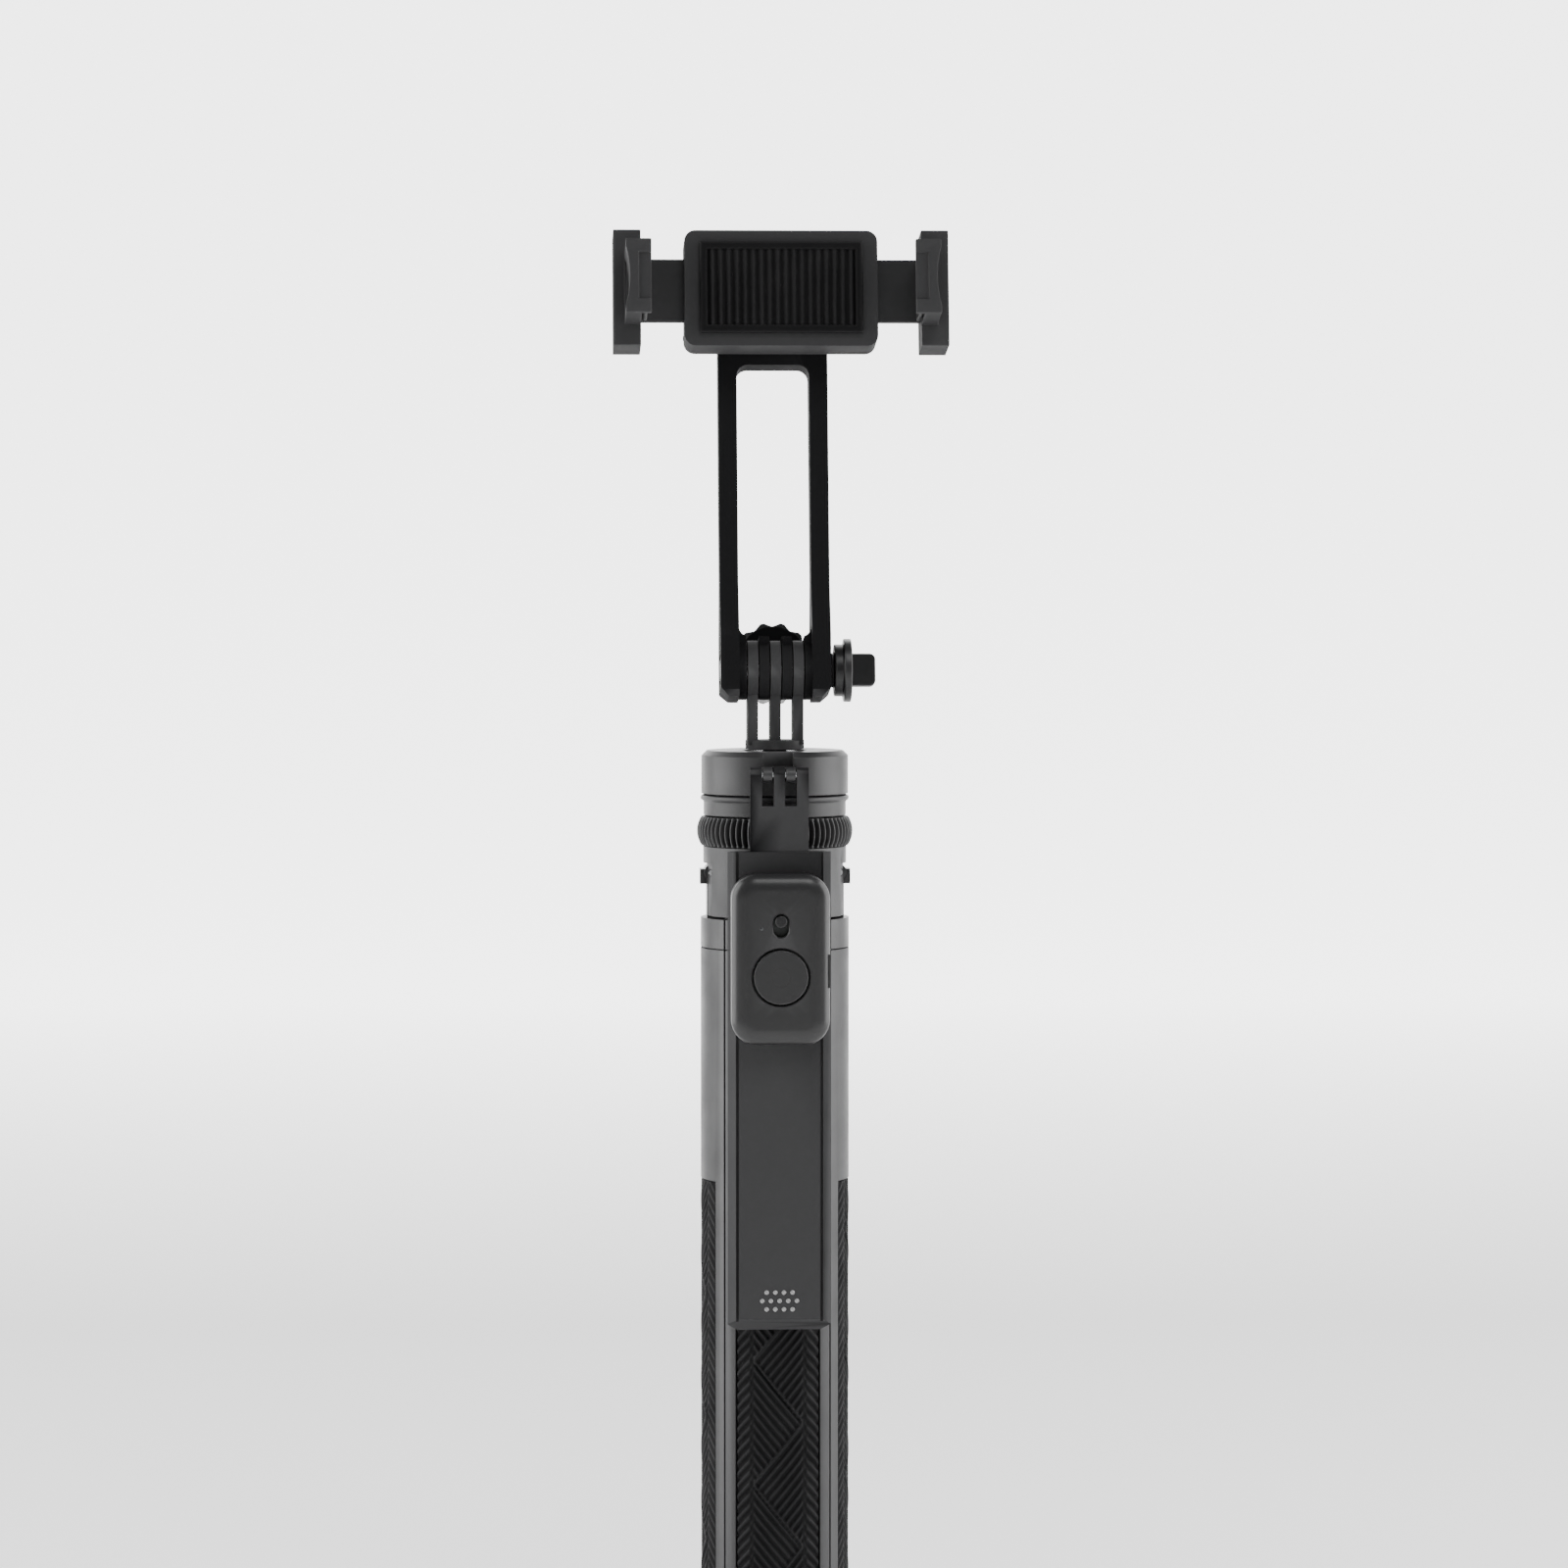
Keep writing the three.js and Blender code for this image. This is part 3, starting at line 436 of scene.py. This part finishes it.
def lock_ring_ridges():
    """The lock ring as a rounded barrel with finger ridges cut across it."""
    low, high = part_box("lock_ring")
    ridges, around, rows = 72, 720, 12
    inner = 15.8 * MM
    crest = 20.95 * MM
    shape = bmesh.new()
    loops = []
    for i in range(rows + 1):
        part = i / rows
        z = low[2] + (high[2] - low[2]) * part
        bulge = math.sin(math.pi * (0.12 + 0.76 * part)) ** 0.5
        loop = []
        for j in range(around):
            angle = 2 * math.pi * j / around
            groove = 0.5 - 0.5 * math.cos(ridges * angle)
            depth = (0.25 if i in (0, rows) else 1.25) * (1 - groove ** 0.6)
            radius = crest - (1 - bulge) * 3.0 * MM - depth * MM
            loop.append(shape.verts.new((radius * math.cos(angle), radius * math.sin(angle), z)))
        loops.append(loop)
    bore = []
    for z in (high[2], low[2]):
        loop = []
        for j in range(around):
            angle = 2 * math.pi * j / around
            loop.append(shape.verts.new((inner * math.cos(angle), inner * math.sin(angle), z)))
        bore.append(loop)
    cycle = loops + bore + [loops[0]]
    for one, two in zip(cycle, cycle[1:]):
        for j in range(around):
            k = (j + 1) % around
            shape.faces.new([one[j], one[k], two[k], two[j]])
    bmesh.ops.recalc_face_normals(shape, faces=shape.faces)
    obj = new_object("lock_ring_look", shape, MATERIALS["body_plastic"], 60)
    stands_for(obj, "lock_ring")


def handle():
    softened("leg_hub", 0.3, MATERIALS["body_plastic"])
    softened("collar_band", 0.35)
    softened("top_cap", 0.5)
    softened("pole_end_plug", 0.5)
    lock_ring_ridges()
    legs()


# ---------------------------------------------------------------- head and clamp
def head():
    softened("head_fork", 0.45, JAW_PLASTIC, segments=3)
    softened("yoke", 1.1, YOKE_PLASTIC, segments=3)
    softened("tilt_knob", 0.5, segments=3)
    softened("rear_lock_knob", 0.9, segments=3)
    softened("tilt_bolt", 0.3)
    softened("tilt_nut", 0.3)


def clamp():
    shells = (("clamp_front", 1.0), ("clamp_back", 0.6), ("fixed_jaw", 0.9), ("moving_jaw", 0.9))
    for node, width in shells:
        softened(node, width, JAW_PLASTIC, segments=3)
    for node in ("swivel_cap", "swivel_washer"):
        softened(node, 0.7, segments=3)
    for node in ("fixed_jaw_pad", "moving_jaw_pad"):
        softened(node, 0.4)
    for node in ("clamp_spring_upper", "clamp_spring_lower"):
        coil(node)
    screw("clamp_screw_left", -22.5, -11.4)
    screw("clamp_screw_right", 26.1, 11.4)
    ribbed_pad()


def coil(node):
    """A jaw spring, hooked to the clamp at one end and to the moving jaw at the other."""
    obj = new_object(f"{node}_look", cleaned(node), MATERIALS["spring_steel"], 60)
    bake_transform(obj)
    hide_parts(node)


def screw(node, x, z):
    """A cap screw: a shank and a domed head, with a dark cross inlaid for its recess; the cross is
    painted shade in place of the recess's hollow.
    """
    shank = [(0, -13), (0.9, -13), (0.9, -5.5)]
    head_outline = [(1.9, -5.5), (1.9, -4.9), (1.6, -4.62), (1.0, -4.5), (0, -4.46)]
    body = lathe_y(shank + head_outline, 24, clamp_place, (x, z))
    stands_for(new_object(f"{node}_look", body, MATERIALS["steel"]), node)
    # Two dark bars: painted shade where the screw's cross recess would be.
    for name, wide, tall in (("level", 1.0, 0.22), ("upright", 0.22, 1.0)):
        low, high = (x - wide, -4.9, z - tall), (x + wide, -4.43, z + tall)
        trim(new_object(f"{node}_{name}", box_between(low, high, clamp_place), DARK_PRINT_AND_PAINTED_SHADE), node)


def ribbed_pad():
    """The clamp's rubber pad: a raised rim around a field of round-topped ribs."""
    columns, rows = 132, 100
    half_width, half_height = 22, 12.5
    shape = bmesh.new()
    grid = []
    for i in range(rows + 1):
        z = -half_height + 2 * half_height * i / rows
        line = []
        for j in range(columns + 1):
            x = 1.8 - half_width + 2 * half_width * j / columns
            edge = min(half_width - abs(x - 1.8), half_height - abs(z))
            height = 0.5 if edge < 0.05 else 1.0
            if edge > 2:
                height = 0.35 + 0.6 * ridge((x + 2 * half_width) / 2.2)
            line.append(shape.verts.new(clamp_place((x, -17.4 - 1.05 * height, z))))
        grid.append(line)
    for one, two in zip(grid, grid[1:]):
        for j in range(columns):
            shape.faces.new([one[j], one[j + 1], two[j + 1], two[j]])
    rim = [edge for edge in shape.edges if edge.is_boundary]
    walls = bmesh.ops.extrude_edge_only(shape, edges=rim)["geom"]
    back = [item for item in walls if isinstance(item, bmesh.types.BMVert)]
    depth = clamp_place((0, 1, 0)) - clamp_place((0, 0, 0))
    for vert in back:
        vert.co += depth * 0.6
    bmesh.ops.recalc_face_normals(shape, faces=shape.faces)
    obj = new_object("clamp_pad_look", shape, MATERIALS["grip_rubber"], 60)
    stands_for(obj, "clamp_pad")


# ---------------------------------------------------------------- dock arm and remote
def arm():
    """The dock arm, with a patch of thirteen raised dots near its lower end."""
    softened("dock_arm", 0.3, ARM_FACE)
    dot = [(0.62, 0.15), (0.62, -0.05), (0.5, -0.22), (0.28, -0.32), (0, -0.35)]
    dots = bmesh.new()
    for row, count in enumerate((4, 5, 4)):
        z = 114.6 - 2.25 * row
        for i in range(count):
            x = (i - (count - 1) / 2) * 2.3
            dome = lathe_y(dot, 12)
            offset = Vector((x * MM, ARM_FRONT, z * MM))
            spots = {vert: dots.verts.new(vert.co + offset) for vert in dome.verts}
            for face in dome.faces:
                dots.faces.new([spots[vert] for vert in face.verts])
            dome.free()
    # The dots are pale grey as painted highlight, against the dark arm.
    trim(new_object("arm_dots", dots, PAINTED_GLINT_GREY), "dock_arm")


def rounded_loop(shape, half, bottom, top, corner, y):
    """A loop of vertices around a rounded rectangle in the plane at y, all in millimetres."""
    loop = []
    corners = ((1, bottom, -90), (1, top, 0), (-1, top, 90), (-1, bottom, 180))
    for side, edge, start in corners:
        x = side * (half - corner)
        z = edge + corner if edge == bottom else edge - corner
        for step in range(9):
            angle = math.radians(start + 90 * step / 8)
            place = (x + corner * math.cos(angle), y, z + corner * math.sin(angle))
            loop.append(shape.verts.new(Vector(place) * MM))
    return loop


def skin(shape, loops):
    for one, two in zip(loops, loops[1:]):
        for i in range(len(one)):
            j = (i + 1) % len(one)
            shape.faces.new([one[i], one[j], two[j], two[i]])


def opening(shape, half, bottom, top, front):
    """The walls of a round-ended opening in the remote's face, with a fine chamfer."""
    steps = ((0, front), (0.25, front + 0.25), (0.25, front + 1.4))
    skin(shape, [
        rounded_loop(shape, half - inset, bottom + inset, top - inset, half - inset, y)
        for inset, y in steps
    ])


def remote_face():
    """The remote's front shell: a broad elliptical rim around a flat face with two openings."""
    node = "remote_front_shell"
    low, high = [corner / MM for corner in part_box(node)]
    front, split, half = low[1], high[1], high[0]
    rim_width, rim_depth, steps = 4.4, 2.7, 9
    profile = [(0.3, split), (0, split - 0.3)]
    for step in range(steps + 1):
        angle = math.radians(90 * step / steps)
        profile.append((rim_width * (1 - math.cos(angle)), front + rim_depth * (1 - math.sin(angle))))
    corner = REMOTE_CORNER / MM
    shape = bmesh.new()
    skin(shape, [
        rounded_loop(shape, half - inset, low[2] + inset, high[2] - inset, corner - inset, y)
        for inset, y in profile
    ])
    button, switch = BUTTON_Z / MM, SWITCH_Z / MM
    opening(shape, 7.9, button - 7.9, button + 7.9, front)
    opening(shape, 2.3, switch - 3.3, switch + 3.3, front)
    bmesh.ops.remove_doubles(shape, verts=shape.verts, dist=1e-6)
    edges = [
        edge for edge in shape.edges
        if len(edge.link_faces) == 1 and all(abs(v.co.y - front * MM) < 1e-7 for v in edge.verts)
    ]
    bmesh.ops.triangle_fill(shape, edges=edges, use_beauty=True, normal=(0, -1, 0))
    bmesh.ops.recalc_face_normals(shape, faces=shape.faces)
    obj = new_object(f"{node}_look", shape, MATERIALS["remote_plastic"], 40)
    weighted = obj.modifiers.new("even", "WEIGHTED_NORMAL")
    weighted.keep_sharp = True
    stands_for(obj, node)


def button_mark():
    """A plain generic ring inlaid in the button."""
    front = BUTTON_FRONT / MM
    middle = (0, BUTTON_Z / MM)
    inner, outer, sunk, proud = 2.2, 2.75, front + 0.2, front - 0.05
    profile = [(inner, sunk), (inner, proud), (outer, proud), (outer, sunk), (inner, sunk)]
    ring = lathe_y(profile, 48, centre=middle)
    trim(new_object("button_ring", ring, DARK_PRINT_AND_PAINTED_SHADE), "shutter_button")


def remote():
    remote_face()
    button_mark()
    softened("remote_back_shell", 0.7, MATERIALS["dark_plastic"])
    softened("shutter_button", 0.5, segments=3)
    softened("power_switch", 0.4, segments=3)
    softened("led_lens", 0.1)
    # The side slot is a thin dark box on the shell: painted shade for the slot's opening, not a cut.
    port = box_between((12.6, -32.2, 196.2), (13.06, -30.6, 205))
    trim(new_object("side_slot", port, DARK_PRINT_AND_PAINTED_SHADE), "remote_front_shell")


def carried_over():
    """The CAD nodes whose shapes are already right get their materials."""
    for node, obj in frame["nodes"].items():
        obj.data.materials.clear()
        obj.data.materials.append(MATERIALS[NODE_SLOT[node]])


# ---------------------------------------------------------------- studio
def area_light(name, place, aim, size, power, size_y=None):
    light = bpy.data.lights.new(name, "AREA")
    light.shape = "RECTANGLE"
    light.size = size
    light.size_y = size_y or size
    light.energy = power
    obj = bpy.data.objects.new(name, light)
    obj.location = place
    obj.rotation_euler = (Vector(aim) - Vector(place)).to_track_quat("-Z", "Y").to_euler()
    bpy.context.scene.collection.objects.link(obj)


def studio():
    """A plain floor that curves up into a wall behind the object, soft boxes at both sides."""
    reach, back, curve, rise = 7, 2.4, 1.5, 6
    profile = [(-reach, 0), (0.5, 0), (back, 0)]
    for step in range(1, 9):
        angle = math.radians(90 * step / 8)
        profile.append((back + curve * math.sin(angle), curve * (1 - math.cos(angle))))
    profile.append((back + curve, rise))
    paper = bmesh.new()
    lines = [[paper.verts.new((x, y, z)) for x in (-reach, 0, reach)] for y, z in profile]
    for one, two in zip(lines, lines[1:]):
        for i in range(2):
            paper.faces.new([one[i], one[i + 1], two[i + 1], two[i]])
    new_object("studio_floor", paper, studio_floor("studio_floor"))

    world = bpy.data.worlds.new("studio")
    world.use_nodes = True
    world.node_tree.nodes["Background"].inputs["Color"].default_value = (1, 1, 1, 1)
    world.node_tree.nodes["Background"].inputs["Strength"].default_value = 0.25
    bpy.context.scene.world = world
    area_light("left_softbox", (-1.1, -0.02, 0.4), (0, 0, 0.25), 1.05, 30, 1.7)
    area_light("right_softbox", (1.1, -0.02, 0.4), (0, 0, 0.25), 1.05, 30, 1.7)
    area_light("front_top", (0.35, -1.2, 1.7), (0, 0, 0.25), 0.8, 12)


def camera():
    data = bpy.data.cameras.new("camera")
    data.sensor_width = 36
    data.lens = 36 * DISTANCE / VIEW_WIDTH
    obj = bpy.data.objects.new("camera", data)
    away = Vector((
        math.sin(AZIMUTH) * math.cos(ELEVATION),
        -math.cos(AZIMUTH) * math.cos(ELEVATION),
        math.sin(ELEVATION),
    ))
    obj.location = AIM + away * DISTANCE
    obj.rotation_euler = (-away).to_track_quat("-Z", "Y").to_euler()
    bpy.context.scene.collection.objects.link(obj)
    bpy.context.scene.camera = obj


carried_over()
handle()
head()
clamp()
arm()
remote()
studio()
camera()
